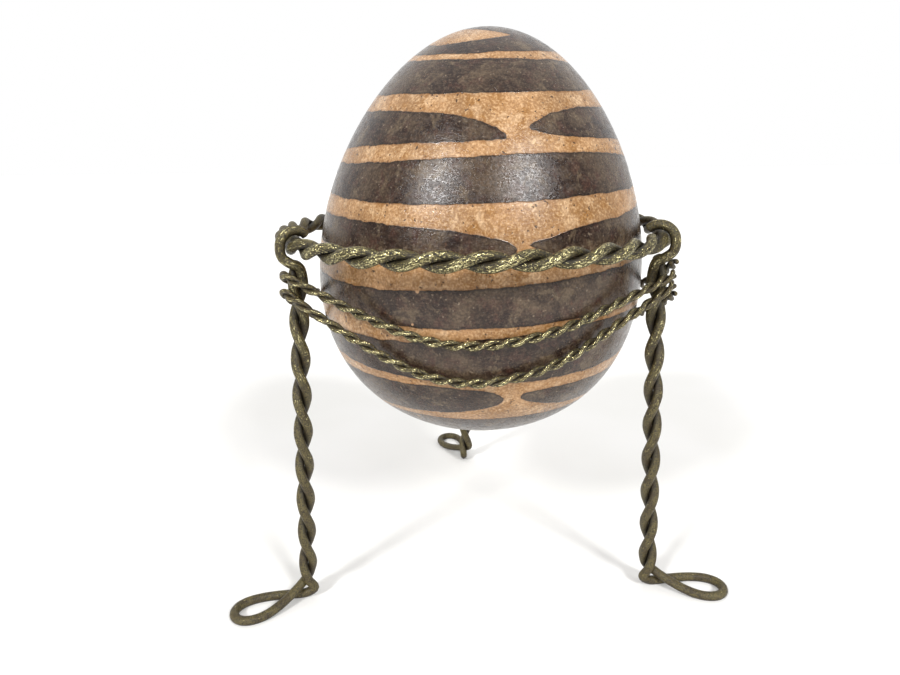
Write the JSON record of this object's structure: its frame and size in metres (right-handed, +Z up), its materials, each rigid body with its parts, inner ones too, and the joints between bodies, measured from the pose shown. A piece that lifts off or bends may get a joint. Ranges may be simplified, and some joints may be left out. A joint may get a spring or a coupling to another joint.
{
  "type": "decorated egg on stand",
  "caption": "Burnished clay egg painted with dark wavy bands, held upright in a twisted-wire tripod stand with a ring and draped wire ropes.",
  "frame": {"origin": "on the surface the stand rests on, under the middle of the whole seen from above", "axes": "+Z up, +Y towards the back leg, +X to the right of someone facing the two front legs"},
  "size_m": [0.1666, 0.1566, 0.1825],
  "materials": {
    "painted_clay": "burnished satin",
    "heavy_wire": "dark olive-bronze paint rubbed with gold, satin",
    "fine_wire": "dark olive-bronze paint rubbed with gold, satin"
  },
  "bodies": {
    "stand": {"ring_strand_a": "heavy_wire", "ring_strand_b": "heavy_wire", "leg_left": "heavy_wire", "leg_right": "heavy_wire", "leg_back": "heavy_wire", "upper_rope_strand_a": "fine_wire", "upper_rope_strand_b": "fine_wire", "lower_rope_strand_a": "fine_wire", "lower_rope_strand_b": "fine_wire"},
    "egg": {"egg_shell": "painted_clay"}
  },
  "joints": [
    {"name": "egg_lift", "type": "slide", "parent": "stand", "child": "egg", "axis": [0, 0, 1], "range_m": [0, 0.085]}
  ]
}
